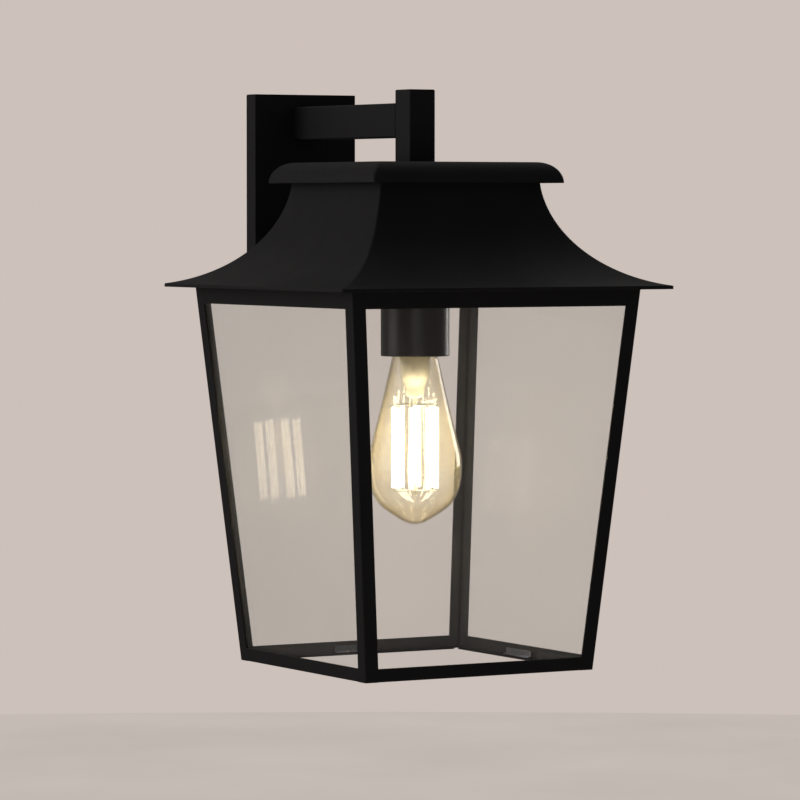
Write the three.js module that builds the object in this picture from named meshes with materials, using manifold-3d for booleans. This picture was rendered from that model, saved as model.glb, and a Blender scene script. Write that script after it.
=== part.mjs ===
// Outdoor wall lantern: a square glazed lantern hung under a flared roof from a wall arm.
// Millimetres, +Z up. The wall is the plane y = 0 and the lantern stands out towards -Y.
// The origin is the middle of the mounting bracket's back face.
import * as THREE from 'three';
import * as BufferGeometryUtils from 'three/addons/utils/BufferGeometryUtils.js';
import Module from 'manifold-3d';

const wasm = await Module();
wasm.setup();

// ---------------------------------------------------------------- driving sizes
const GAP = 0.3;                 // clearance kept between touching pieces
const SHEET = 1.5;               // steel sheet of the roof, cap, plate and frame

// where the lantern hangs
const WALL_TO_AXIS = 171;
const EAVE_DROP = 70;            // eave below the middle of the wall plate

// roof: a square flare whose outline is one arc
const EAVE_WIDTH = 255.5;
const ARC_RADIUS = 79.3;
const ARC_CENTRE_X = 141.2;
const ARC_CENTRE_Z = 80.5;
const ROOF_TOP = 83.7;
const ARC_STEPS = 10;

// cap: a shallow tray over the roof, with a quarter-round edge
const CAP_WIDTH = 148.8;
const CAP_FLAT = 121.6;
const CAP_BOTTOM = 71.4;
const CAP_TOP = 85.6;
const CAP_STEPS = 6;

// square post, its arm and the wall plate
const POST_WIDTH = 20.3;
const POST_WALL = 1.6;
const POST_TOP = 135.2;
const ARM_HEIGHT = 23.4;
const ARM_MIDDLE = 114.4;
const PLATE_WIDTH = 80.9;
const PLATE_HEIGHT = 130;
const PLATE_FRONT = 14.5;
const GASKET = 1.5;

// glazed frame, narrower at the bottom than at the top
const FRAME_TOP_WIDTH = 223.1;
const FRAME_BOTTOM_WIDTH = 176.8;
const FRAME_HEIGHT = 258.4;
const LEG = 10;
const TOP_RAIL_BOTTOM = -11.3;
const TOP_RAIL_TOP = 4.6;
const TOP_FLANGE = 16;
const BOTTOM_RAIL_HEIGHT = 9;
const BOTTOM_FLANGE = 8;
const GLASS_THICKNESS = 3;
const CLIP_LENGTH = 33;
const CLIP_HEIGHT = 4.7;
const CLIP_SHEET = 0.8;

// hanging stem, nuts and bridge
const STEM_RADIUS = 5;
const STEM_BORE = 3.6;
const STEM_HOLE = STEM_RADIUS + GAP;
const STEM_TOP = 97;
const STEM_BOTTOM = -3;
const NUT_FLATS = 14;
const NUT_HEIGHT = 4;
const NUT_FLANGE = 11;
const NUT_FLANGE_THICKNESS = 1.5;
const FOOT_THICKNESS = 4;
const BRIDGE_HALF_LENGTH = 103;
const BRIDGE_WIDTH = 20;
const BRIDGE_THICKNESS = 3;
const BRIDGE_BOTTOM = TOP_RAIL_TOP + GAP;
const BRIDGE_SCREW_X = 99.5;
const SCREW_RADIUS = 1.7;
const SCREW_HOLE = SCREW_RADIUS + GAP;

// lampholder and screw-in lamp
const HOLDER_RADIUS = 23.5;
const HOLDER_BOTTOM = -46.5;
const HOLDER_TOP = BRIDGE_BOTTOM - GAP;
const INSERT_BOTTOM = -44;
const INSERT_TOP = -14.5;
const SOCKET_RADIUS = 14.6;
const SOCKET_TOP = -18.9;
const CAP_SHELL_RADIUS = 13.3;
const LAMP_TIP = -20.3;
const GLASS_WALL = 0.9;
const FILAMENT_COUNT = 8;
const FILAMENT_CIRCLE = 15;
const FILAMENT_RADIUS = 1.3;
const FILAMENT_TOP = -80.5;
const FILAMENT_BOTTOM = -138;
const FILAMENT_TURN = THREE.MathUtils.degToRad(5);
const ROD_RADIUS = 1.6;

// lead from the terminal block to the lampholder
const LEAD_RADIUS = 1.9;
const LEAD_SIDES = 8;
const GROMMET_RADIUS = 6;
const GROMMET_BORE = 4.2;
const LEAD_BEND = 10;

// ---------------------------------------------------------------- finishes
const finish = (color, roughness, metalness, extra = {}) =>
  new THREE.MeshStandardMaterial({ color, roughness, metalness, ...extra });
const black_coat = () => finish(0x2a2829, 0.55, 0.3);
const zinc = () => finish(0xb4b6b8, 0.35, 0.9);
const brass = () => finish(0xb59a58, 0.3, 0.9);
const clear_glass = () => finish(0xe8eeee, 0.03, 0, { transparent: true, opacity: 0.2 });
const amber_glass = () => finish(0xf2deb0, 0.03, 0, { transparent: true, opacity: 0.25 });
const holder_brown = () => finish(0x38322d, 0.6, 0.1);
const porcelain = () => finish(0xe6e1d6, 0.35, 0);
const phosphor = () => finish(0xffe9b0, 0.6, 0, { emissive: 0xffd890 });
const black_rubber = () => finish(0x1c1c1c, 0.85, 0);
const white_plastic = () => finish(0xd8d6d0, 0.5, 0);
const dark_plastic = () => finish(0x202022, 0.4, 0);

// ---------------------------------------------------------------- solid helpers
// A geometry with shared corners merged and its faces turned outwards.
function closed(geometry) {
  geometry.deleteAttribute('normal');
  geometry.deleteAttribute('uv');
  const merged = BufferGeometryUtils.mergeVertices(geometry, 1e-4);
  const index = [];
  const source = merged.index.array;
  for (let i = 0; i < source.length; i += 3) {
    const [a, b, c] = [source[i], source[i + 1], source[i + 2]];
    if (a !== b && b !== c && c !== a) index.push(a, b, c);
  }
  const place = merged.attributes.position;
  let volume = 0;
  const [p, q, r] = [new THREE.Vector3(), new THREE.Vector3(), new THREE.Vector3()];
  for (let i = 0; i < index.length; i += 3) {
    p.fromBufferAttribute(place, index[i]);
    q.fromBufferAttribute(place, index[i + 1]);
    r.fromBufferAttribute(place, index[i + 2]);
    volume += p.dot(q.cross(r));
  }
  if (volume < 0) index.reverse();
  merged.setIndex(index);
  return merged;
}

function toManifold(geometry) {
  const solid = closed(geometry);
  return new wasm.Manifold(new wasm.Mesh({
    numProp: 3,
    vertProperties: new Float32Array(solid.attributes.position.array),
    triVerts: new Uint32Array(solid.index.array),
  }));
}

function fromManifold(manifold) {
  const mesh = manifold.getMesh();
  const geometry = new THREE.BufferGeometry();
  geometry.setAttribute('position', new THREE.Float32BufferAttribute(mesh.vertProperties, 3));
  geometry.setIndex(Array.from(mesh.triVerts));
  return geometry;
}

function cut(body, ...tools) {
  let result = toManifold(body);
  for (const tool of tools) result = result.subtract(toManifold(tool));
  return fromManifold(result);
}

function join(body, ...others) {
  let result = toManifold(body);
  for (const other of others) result = result.add(toManifold(other));
  return fromManifold(result);
}

// A box given by its lowest and highest corners.
function box([x0, y0, z0], [x1, y1, z1]) {
  const geometry = new THREE.BoxGeometry(x1 - x0, y1 - y0, z1 - z0);
  return geometry.translate((x0 + x1) / 2, (y0 + y1) / 2, (z0 + z1) / 2);
}

// An upright cylinder on the Z axis.
function rod(radius, z0, z1, sides = 24) {
  const geometry = new THREE.CylinderGeometry(radius, radius, z1 - z0, sides);
  return geometry.rotateX(Math.PI / 2).translate(0, 0, (z0 + z1) / 2);
}

// The same cylinder lying along Y.
function rodAlongY(radius, y0, y1, x, z, sides = 24) {
  const geometry = new THREE.CylinderGeometry(radius, radius, y1 - y0, sides);
  return geometry.translate(x, (y0 + y1) / 2, z);
}

// A profile of [radius, z] points turned about the Z axis.
function turned(profile, sides = 32) {
  const points = profile.map(([radius, z]) => new THREE.Vector2(radius, z));
  return new THREE.LatheGeometry(points, sides).rotateX(Math.PI / 2);
}

// A profile of [half width, z] points carried round a square, with mitred corners.
function squareTurned(profile) {
  const points = profile.map(([half, z]) => new THREE.Vector2(half * Math.SQRT2, z));
  const geometry = new THREE.LatheGeometry(points, 4, Math.PI / 4);
  return geometry.rotateX(Math.PI / 2);
}

// A closed solid between two matching loops; the flat outline says how to fill its ends.
function loft(outline, firstLoop, lastLoop) {
  const count = outline.length;
  const flat = outline.map(([a, b]) => new THREE.Vector2(a, b));
  if (THREE.ShapeUtils.isClockWise(flat)) {
    flat.reverse();
    firstLoop.reverse();
    lastLoop.reverse();
  }
  const index = [];
  for (const [a, b, c] of THREE.ShapeUtils.triangulateShape(flat, [])) {
    index.push(a, c, b);
    index.push(count + a, count + b, count + c);
  }
  for (let i = 0; i < count; i += 1) {
    const j = (i + 1) % count;
    index.push(i, j, count + j);
    index.push(i, count + j, count + i);
  }
  const geometry = new THREE.BufferGeometry();
  const positions = [...firstLoop, ...lastLoop].flat();
  geometry.setAttribute('position', new THREE.Float32BufferAttribute(positions, 3));
  geometry.setIndex(index);
  return closed(geometry);
}

// Points along an ellipse between two angles in degrees.
function ellipse([centreX, centreZ], [radiusX, radiusZ], fromDegrees, toDegrees, steps) {
  const points = [];
  for (let i = 0; i <= steps; i += 1) {
    const angle = THREE.MathUtils.degToRad(fromDegrees + (toDegrees - fromDegrees) * i / steps);
    points.push([centreX + radiusX * Math.cos(angle), centreZ + radiusZ * Math.sin(angle)]);
  }
  return points;
}

function piece(name, geometry, material) {
  const mesh = new THREE.Mesh(closed(geometry), material);
  mesh.name = name;
  return mesh;
}

function hexNut(z0, z1) {
  const nut = new THREE.CylinderGeometry(NUT_FLATS / Math.sqrt(3), NUT_FLATS / Math.sqrt(3), z1 - z0, 6);
  nut.rotateX(Math.PI / 2).translate(0, 0, (z0 + z1) / 2);
  return cut(nut, rod(STEM_HOLE, z0 - 1, z1 + 1));
}

// ---------------------------------------------------------------- wall plate
const wallMount = new THREE.Group();

function makeWallPlate() {
  const half = PLATE_WIDTH / 2;
  const high = PLATE_HEIGHT / 2;
  const rim = -(GASKET + GAP);
  const cover = box([-half, -PLATE_FRONT, -high], [half, rim, high]);
  const hollow = box(
    [-half + SHEET, -PLATE_FRONT + SHEET, -high + SHEET],
    [half - SHEET, 1, high - SHEET],
  );
  const leadHole = rodAlongY(GROMMET_RADIUS + GAP, -PLATE_FRONT - 1, 0, 0, ARM_MIDDLE - EAVE_DROP);
  const screwHoles = [1, -1].map((side) => coverScrewTool(side, GAP));
  return cut(cover, hollow, leadHole, ...screwHoles);
}

// Countersunk screw through the plate's top (side = 1) or bottom edge into the bracket's ear.
function coverScrewTool(side, clearance) {
  const high = PLATE_HEIGHT / 2;
  const headRadius = 3.4 + clearance;
  const shank = SCREW_RADIUS + clearance;
  const profile = [
    [0, high], [headRadius, high], [shank, high - 1.4], [shank, high - 8], [0, high - 8],
  ];
  const screw = turned(profile, 16);
  if (side < 0) screw.rotateX(Math.PI);
  return screw.translate(0, -8, 0);
}

function makeGasket() {
  const half = PLATE_WIDTH / 2 - 0.5;
  const high = PLATE_HEIGHT / 2 - 0.5;
  const width = 5;
  return cut(
    box([-half, -GASKET, -high], [half, 0, high]),
    box([-half + width, -GASKET - 1, -high + width], [half - width, 1, high - width]),
  );
}

function makeBracket() {
  const high = PLATE_HEIGHT / 2 - SHEET - GAP;
  const half = 10;
  const thick = 2;
  const strip = box([-half, -thick, -high + 8], [half, 0, high - 8]);
  const ears = [1, -1].map((side) => {
    const outer = side * high;
    const inner = side * (high - thick);
    const [z0, z1] = [Math.min(outer, inner), Math.max(outer, inner)];
    const ear = box([-half, -12.2, z0], [half, -3.5, z1]);
    const step = box([-half, -3.8, side > 0 ? high - 10 : -high], [half, -1.8, side > 0 ? high : -high + 10]);
    return join(ear, step);
  });
  const screwHoles = [1, -1].map((side) => rod(SCREW_HOLE, 50, 70, 16).translate(0, -8, side > 0 ? 0 : -120));
  const cableHole = rodAlongY(5, -5, 5, 0, 26);
  const wallHoles = [-1, 1].map((side) => box([-2.5, -5, side * 42 - 6], [2.5, 5, side * 42 + 6]));
  const earthStud = rodAlongY(1.5, -7, -1, 6, 10, 12);
  return cut(join(strip, ...ears, earthStud), ...screwHoles, cableHole, ...wallHoles);
}

function makeTerminalBlock() {
  const body = box([-13, -12.6, -26], [13, -2.4, -10]);
  const wireHoles = [-8, 0, 8].map((x) => box([x - 2, -9, -12], [x + 2, -5, -9]));
  return cut(body, ...wireHoles);
}

function makeGrommet() {
  const z = ARM_MIDDLE - EAVE_DROP;
  const neck = rodAlongY(GROMMET_RADIUS, -PLATE_FRONT - 0.1, -PLATE_FRONT + SHEET + 1.6, 0, z);
  const flange = rodAlongY(GROMMET_RADIUS + 2, -PLATE_FRONT + SHEET + GAP, -PLATE_FRONT + SHEET + 1.6, 0, z);
  return cut(join(neck, flange), rodAlongY(GROMMET_BORE, -PLATE_FRONT - 1, 0, 0, z));
}

wallMount.add(
  piece('wall_gasket', makeGasket(), black_rubber()),
  piece('mounting_bracket', makeBracket(), zinc()),
  piece('wall_plate', makeWallPlate(), black_coat()),
  piece('cover_screw_top', coverScrewTool(1, 0), black_coat()),
  piece('cover_screw_bottom', coverScrewTool(-1, 0), black_coat()),
  piece('terminal_block', makeTerminalBlock(), white_plastic()),
  piece('cable_grommet', makeGrommet(), black_rubber()),
);

// ---------------------------------------------------------------- post and arm
// From here on heights are measured from the eave, and x = y = 0 is the lantern's own axis.
const lantern = new THREE.Group();
lantern.position.set(0, -WALL_TO_AXIS, -EAVE_DROP);

const postHalf = POST_WIDTH / 2;
const postInner = postHalf - POST_WALL;
const armY0 = postHalf + GAP;
const armY1 = WALL_TO_AXIS - PLATE_FRONT - GAP;
const armZ0 = ARM_MIDDLE - ARM_HEIGHT / 2;
const armZ1 = ARM_MIDDLE + ARM_HEIGHT / 2;
const postBottom = CAP_TOP + GAP;

// A tube open below, its top closed by a welded lid.
function makePost() {
  const tube = box([-postHalf, -postHalf, postBottom], [postHalf, postHalf, POST_TOP]);
  const hollow = box([-postInner, -postInner, 0], [postInner, postInner, POST_TOP - POST_WALL]);
  const leadHole = rodAlongY(5, 0, 20, 0, ARM_MIDDLE);
  return cut(tube, hollow, leadHole);
}

function makeArm() {
  const tube = box([-postHalf, armY0, armZ0], [postHalf, armY1, armZ1]);
  const hollow = box(
    [-postInner, armY0 - 1, armZ0 + POST_WALL],
    [postInner, armY1 + 1, armZ1 - POST_WALL],
  );
  return cut(tube, hollow);
}

function makeFootPlate() {
  const half = postInner - GAP;
  const z0 = postBottom;
  return cut(
    box([-half, -half, z0], [half, half, z0 + FOOT_THICKNESS]),
    rod(STEM_HOLE, z0 - 1, z0 + FOOT_THICKNESS + 1),
  );
}

lantern.add(
  piece('bracket_arm', makeArm(), black_coat()),
  piece('hanging_post', makePost(), black_coat()),
  piece('post_foot_plate', makeFootPlate(), zinc()),
);

// ---------------------------------------------------------------- cap and roof
function makeCap() {
  const flat = CAP_FLAT / 2;
  const high = CAP_TOP - CAP_BOTTOM;
  const reach = CAP_WIDTH / 2 - flat;
  const outer = ellipse([flat, CAP_BOTTOM], [reach, high], 90, 0, CAP_STEPS);
  const inner = ellipse([flat, CAP_BOTTOM], [reach - SHEET, high - SHEET], 0, 90, CAP_STEPS);
  const tray = squareTurned([[0, CAP_TOP], ...outer, ...inner, [0, CAP_TOP - SHEET]]);
  return cut(tray, rod(STEM_HOLE, CAP_TOP - 5, CAP_TOP + 5));
}

// One arc of the roof's section, between its upright side and the eave.
function roofArc(radius, halfWidth) {
  const eaveAngle = 180 + THREE.MathUtils.radToDeg(Math.acos((ARC_CENTRE_X - halfWidth) / radius));
  return ellipse([ARC_CENTRE_X, ARC_CENTRE_Z], [radius, radius], 180, eaveAngle, ARC_STEPS);
}

function makeRoof() {
  const eave = EAVE_WIDTH / 2;
  const outer = roofArc(ARC_RADIUS, eave);
  const inner = roofArc(ARC_RADIUS + SHEET, eave - SHEET).reverse();
  const shell = squareTurned([
    [0, ROOF_TOP],
    [ARC_CENTRE_X - ARC_RADIUS, ROOF_TOP],
    ...outer,
    [eave, 0],
    [eave - SHEET, 0],
    ...inner,
    [ARC_CENTRE_X - ARC_RADIUS - SHEET, ROOF_TOP - SHEET],
    [0, ROOF_TOP - SHEET],
  ]);
  return cut(shell, rod(STEM_HOLE, ROOF_TOP - 5, ROOF_TOP + 5));
}

lantern.add(
  piece('cap_tray', makeCap(), black_coat()),
  piece('roof_shell', makeRoof(), black_coat()),
);

// ---------------------------------------------------------------- stem, nuts and bridge
function ring(outer, inner, z0, z1, sides = 24) {
  return turned([[inner, z0], [outer, z0], [outer, z1], [inner, z1], [inner, z0]], sides);
}

function makeBridge() {
  const half = BRIDGE_WIDTH / 2;
  const top = BRIDGE_BOTTOM + BRIDGE_THICKNESS;
  const strap = box([-BRIDGE_HALF_LENGTH, -half, BRIDGE_BOTTOM], [BRIDGE_HALF_LENGTH, half, top]);
  const screwHoles = [-1, 1].map((side) => rod(SCREW_HOLE, 0, 20, 16).translate(side * BRIDGE_SCREW_X, 0, 0));
  return cut(strap, rod(STEM_HOLE, 0, 20), ...screwHoles);
}

function makeBridgeScrew(side) {
  const seat = BRIDGE_BOTTOM + BRIDGE_THICKNESS + GAP;
  const screw = turned([
    [0, seat + 1.4], [2.9, seat + 1.1], [2.9, seat], [SCREW_RADIUS, seat], [SCREW_RADIUS, -3], [0, -3],
  ], 16);
  return screw.translate(side * BRIDGE_SCREW_X, 0, 0);
}

// The nut under the roof, with a wide flange against the sheet.
function makeRoofNut() {
  const top = ROOF_TOP - SHEET - GAP;
  const seat = top - NUT_FLANGE_THICKNESS;
  const flange = ring(NUT_FLANGE, STEM_HOLE, seat, top);
  return join(hexNut(seat - NUT_HEIGHT, seat + 0.5), flange);
}

const footTop = postBottom + FOOT_THICKNESS;
const bridgeTop = BRIDGE_BOTTOM + BRIDGE_THICKNESS;
const holderNutTop = HOLDER_TOP - SHEET - GAP;

lantern.add(
  piece('threaded_stem', ring(STEM_RADIUS, STEM_BORE, STEM_BOTTOM, STEM_TOP), zinc()),
  piece('post_nut', hexNut(footTop + GAP, footTop + GAP + NUT_HEIGHT), zinc()),
  piece('roof_nut', makeRoofNut(), zinc()),
  piece('holder_bridge', makeBridge(), zinc()),
  piece('bridge_screw_left', makeBridgeScrew(-1), zinc()),
  piece('bridge_screw_right', makeBridgeScrew(1), zinc()),
  piece('bridge_nut', hexNut(bridgeTop + GAP, bridgeTop + GAP + NUT_HEIGHT), zinc()),
  piece('holder_nut', hexNut(holderNutTop - NUT_HEIGHT, holderNutTop), zinc()),
);

// ---------------------------------------------------------------- glazed frame
// Half the frame's outer width at a height: the four sides lean in towards the bottom.
function frameHalf(z) {
  const slope = (FRAME_TOP_WIDTH - FRAME_BOTTOM_WIDTH) / 2 / FRAME_HEIGHT;
  return FRAME_TOP_WIDTH / 2 + slope * z;
}

// A point of the front side, from its distance off centre, depth behind the outer face and height.
function frontPoint(across, depth, z) {
  return [across, -frameHalf(z) + depth, z];
}

// A bar along the front side: a section of [depth, z] points, with ends that follow the posts.
function frontBar(section, endOf) {
  const left = section.map(([depth, z]) => frontPoint(-endOf(depth, z), depth, z));
  const right = section.map(([depth, z]) => frontPoint(endOf(depth, z), depth, z));
  return loft(section, left, right);
}

const betweenPosts = (depth, z) => frameHalf(z) - LEG - GAP - Math.max(0, depth - SHEET) * 0.42;

function makeTopRail() {
  const under = TOP_RAIL_TOP - SHEET;
  const rail = frontBar([
    [0, TOP_RAIL_BOTTOM], [SHEET, TOP_RAIL_BOTTOM], [SHEET, under],
    [TOP_FLANGE, under], [TOP_FLANGE, TOP_RAIL_TOP], [0, TOP_RAIL_TOP],
  ], betweenPosts);
  return cut(rail, rod(SCREW_HOLE, 0, 20, 16).translate(0, -BRIDGE_SCREW_X, 0));
}

function makeBottomRail() {
  const z0 = -FRAME_HEIGHT;
  return frontBar([
    [0, z0], [BOTTOM_FLANGE, z0], [BOTTOM_FLANGE, z0 + SHEET],
    [SHEET, z0 + SHEET], [SHEET, z0 + BOTTOM_RAIL_HEIGHT], [0, z0 + BOTTOM_RAIL_HEIGHT],
  ], (depth, z) => frameHalf(z) - LEG - GAP);
}

// The angle post of the front right corner, leaning both ways.
function makeCornerPost() {
  const outline = [[0, 0], [0, LEG], [SHEET, LEG], [SHEET, SHEET], [LEG, SHEET], [LEG, 0]];
  const loopAt = (z) => outline.map(([a, b]) => [frameHalf(z) - a, -frameHalf(z) + b, z]);
  return loft(outline, loopAt(-FRAME_HEIGHT), loopAt(TOP_RAIL_TOP));
}

const glassDepth = SHEET + GAP;
const glassBottom = -FRAME_HEIGHT + SHEET + GAP;

function makeGlassPane() {
  const top = TOP_RAIL_TOP - SHEET - 2 * GAP;
  const behind = glassDepth + GLASS_THICKNESS;
  const edge = (z) => frameHalf(z) - behind - 0.4;
  return frontBar([
    [glassDepth, glassBottom], [behind, glassBottom], [behind, top], [glassDepth, top],
  ], (depth, z) => edge(z));
}

function makeGlazingClip() {
  const front = glassDepth + GLASS_THICKNESS + GAP;
  const back = BOTTOM_FLANGE;
  const z0 = glassBottom;
  return frontBar([
    [front, z0], [back, z0], [back, z0 + CLIP_SHEET],
    [front + CLIP_SHEET, z0 + CLIP_SHEET], [front + CLIP_SHEET, z0 + CLIP_HEIGHT], [front, z0 + CLIP_HEIGHT],
  ], () => CLIP_LENGTH / 2);
}

// The front side's pieces are repeated on the other three, a quarter turn at a time.
const sides = ['front', 'right', 'back', 'left'];
const corners = ['front_right', 'back_right', 'back_left', 'front_left'];
for (let i = 0; i < 4; i += 1) {
  const quarter = new THREE.Group();
  quarter.rotation.z = i * Math.PI / 2;
  quarter.add(
    piece(`top_rail_${sides[i]}`, makeTopRail(), black_coat()),
    piece(`corner_post_${corners[i]}`, makeCornerPost(), black_coat()),
    piece(`bottom_rail_${sides[i]}`, makeBottomRail(), black_coat()),
    piece(`glass_${sides[i]}`, makeGlassPane(), clear_glass()),
    piece(`glazing_clip_${sides[i]}`, makeGlazingClip(), zinc()),
  );
  lantern.add(quarter);
}

// ---------------------------------------------------------------- lampholder
function makeHolderCup() {
  const inner = HOLDER_RADIUS - SHEET;
  return turned([
    [STEM_HOLE, HOLDER_TOP], [HOLDER_RADIUS - 2, HOLDER_TOP], [HOLDER_RADIUS, HOLDER_TOP - 2],
    [HOLDER_RADIUS, HOLDER_BOTTOM], [inner, HOLDER_BOTTOM], [inner, HOLDER_TOP - SHEET],
    [STEM_HOLE, HOLDER_TOP - SHEET], [STEM_HOLE, HOLDER_TOP],
  ]);
}

function makeHolderInsert() {
  const outer = HOLDER_RADIUS - SHEET - GAP;
  return turned([
    [2.4, INSERT_TOP], [outer, INSERT_TOP], [outer, INSERT_BOTTOM], [SOCKET_RADIUS, INSERT_BOTTOM],
    [SOCKET_RADIUS, SOCKET_TOP], [2.4, SOCKET_TOP], [2.4, INSERT_TOP],
  ]);
}

function makeCentreContact() {
  const top = SOCKET_TOP - GAP;
  return cut(
    box([-4, -9, top - 0.8], [4, 9, top]),
    rod(1.2, top - 3, top + 3, 12).translate(0, 6.5, 0),
  );
}

const holderShellOuter = SOCKET_RADIUS - GAP;
const holderShellInner = CAP_SHELL_RADIUS + 0.5;

lantern.add(
  piece('lampholder_cup', makeHolderCup(), holder_brown()),
  piece('lampholder_insert', makeHolderInsert(), porcelain()),
  piece('lampholder_shell', ring(holderShellOuter, holderShellInner, INSERT_BOTTOM + 0.8, LAMP_TIP - 1.5), brass()),
  piece('centre_contact', makeCentreContact(), brass()),
);

// ---------------------------------------------------------------- screw-in lamp
const NECK_BOTTOM = -42;
const SHELL_BOTTOM = -43.6;
const SHELL_TOP = -24;
const BULB_TIP = -162;

// Outline of the glass: a straight cone from the neck, then two round quarters to the tip.
function bulbOutline(inset) {
  const neck = 12.3 - inset;
  const shoulder = new THREE.SplineCurve([
    new THREE.Vector2(15.6 - inset, -47.2),
    new THREE.Vector2(21.6 - inset, -74),
    new THREE.Vector2(28.1 - inset, -100),
    new THREE.Vector2(31.4 - inset, -114),
    new THREE.Vector2(32 - inset, -124),
    new THREE.Vector2(30.4 - inset, -137),
    new THREE.Vector2(24.6 - inset, -148),
    new THREE.Vector2(14.5 - inset * 0.6, -155.6 + inset * 0.8),
    new THREE.Vector2(6.4 - inset * 0.4, -160.4 + inset),
    new THREE.Vector2(0, BULB_TIP + inset),
  ]);
  const curve = shoulder.getPoints(16).map((point) => [Math.max(0, point.x), point.y]);
  curve[curve.length - 1][0] = 0;
  return [[neck, NECK_BOTTOM], [neck, -44.2], [14.4 - inset, -45.4], ...curve];
}

function makeBulbGlass() {
  const outer = bulbOutline(0);
  const inner = bulbOutline(GLASS_WALL).reverse();
  return turned([...outer, ...inner, outer[0]], 24);
}

function makeStem() {
  return turned([
    [0, -44], [10.5, -44], [10.5, -60], [8.5, -66], [3.2, -71], [ROD_RADIUS, -74],
    [ROD_RADIUS, FILAMENT_BOTTOM - 3], [0, FILAMENT_BOTTOM - 4],
  ], 20);
}

// A wire star that reaches from the glass rod to every filament.
function makeFilamentSupport(z0, z1) {
  const collar = ring(ROD_RADIUS + 1.3, ROD_RADIUS + GAP, z0, z1, 16);
  const arms = [];
  for (let i = 0; i < FILAMENT_COUNT; i += 1) {
    const arm = box([ROD_RADIUS + 0.8, -0.45, z0], [FILAMENT_CIRCLE + 0.8, 0.45, z1]);
    arms.push(arm.rotateZ(FILAMENT_TURN + i * 2 * Math.PI / FILAMENT_COUNT));
  }
  return join(collar, ...arms);
}

lantern.add(
  piece('bulb_glass', makeBulbGlass(), amber_glass()),
  piece('bulb_cap_shell', ring(CAP_SHELL_RADIUS, CAP_SHELL_RADIUS - 0.7, SHELL_BOTTOM, SHELL_TOP), brass()),
  piece('bulb_insulator', turned([
    [0, SHELL_TOP + GAP], [11.5, SHELL_TOP + GAP], [5.2, LAMP_TIP - 1.2], [0, LAMP_TIP - 1.2],
  ]), dark_plastic()),
  piece('bulb_contact_tip', turned([
    [0, LAMP_TIP - 0.9], [4.2, LAMP_TIP - 0.9], [3.2, LAMP_TIP - 0.2], [0, LAMP_TIP],
  ], 20), zinc()),
  piece('bulb_stem', makeStem(), clear_glass()),
  piece('filament_support_top', makeFilamentSupport(FILAMENT_TOP + GAP, FILAMENT_TOP + 1.2), zinc()),
  piece('filament_support_bottom', makeFilamentSupport(FILAMENT_BOTTOM - 1.2, FILAMENT_BOTTOM - GAP), zinc()),
);

for (let i = 0; i < FILAMENT_COUNT; i += 1) {
  const stick = piece(`filament_${i + 1}`, rod(FILAMENT_RADIUS, FILAMENT_BOTTOM, FILAMENT_TOP, 8), phosphor());
  const angle = FILAMENT_TURN + i * 2 * Math.PI / FILAMENT_COUNT;
  stick.position.set(FILAMENT_CIRCLE * Math.cos(angle), FILAMENT_CIRCLE * Math.sin(angle), 0);
  lantern.add(stick);
}

// ---------------------------------------------------------------- inner lead
// Up from the terminal block, through the arm, and down the stem to the lampholder.
function makeLead() {
  const atPlate = WALL_TO_AXIS - 7.2;
  const blockTop = EAVE_DROP - 10 + GAP;
  const route = new THREE.CurvePath();
  const at = (y, z) => new THREE.Vector3(0, y, z);
  const bends = [
    [at(atPlate, ARM_MIDDLE - LEAD_BEND), at(atPlate, ARM_MIDDLE), at(atPlate - LEAD_BEND, ARM_MIDDLE)],
    [at(LEAD_BEND, ARM_MIDDLE), at(0, ARM_MIDDLE), at(0, ARM_MIDDLE - LEAD_BEND)],
  ];
  route.add(new THREE.LineCurve3(at(atPlate, blockTop), bends[0][0]));
  route.add(new THREE.QuadraticBezierCurve3(...bends[0]));
  route.add(new THREE.LineCurve3(bends[0][2], bends[1][0]));
  route.add(new THREE.QuadraticBezierCurve3(...bends[1]));
  route.add(new THREE.LineCurve3(bends[1][2], at(0, INSERT_TOP + GAP)));
  const section = new THREE.Shape();
  section.absarc(0, 0, LEAD_RADIUS, 0, Math.PI * 2);
  return new THREE.ExtrudeGeometry(section, {
    steps: 60, curveSegments: LEAD_SIDES / 2, bevelEnabled: false, extrudePath: route,
  });
}

lantern.add(piece('inner_lead', makeLead(), white_plastic()));

// ---------------------------------------------------------------- whole lantern
const wall_lantern = new THREE.Group();
wall_lantern.add(wallMount, lantern);

export default wall_lantern;
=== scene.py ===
"""Outdoor wall lantern: the visual model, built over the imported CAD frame.

Metres, +Z up. The wall is the plane y = 0 and the lantern stands out towards -Y.
Shapes are worked out in millimetres, measured from the lantern's own axis and its eave.
"""
import math

import bmesh
import bpy
from mathutils import Matrix, Vector


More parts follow.
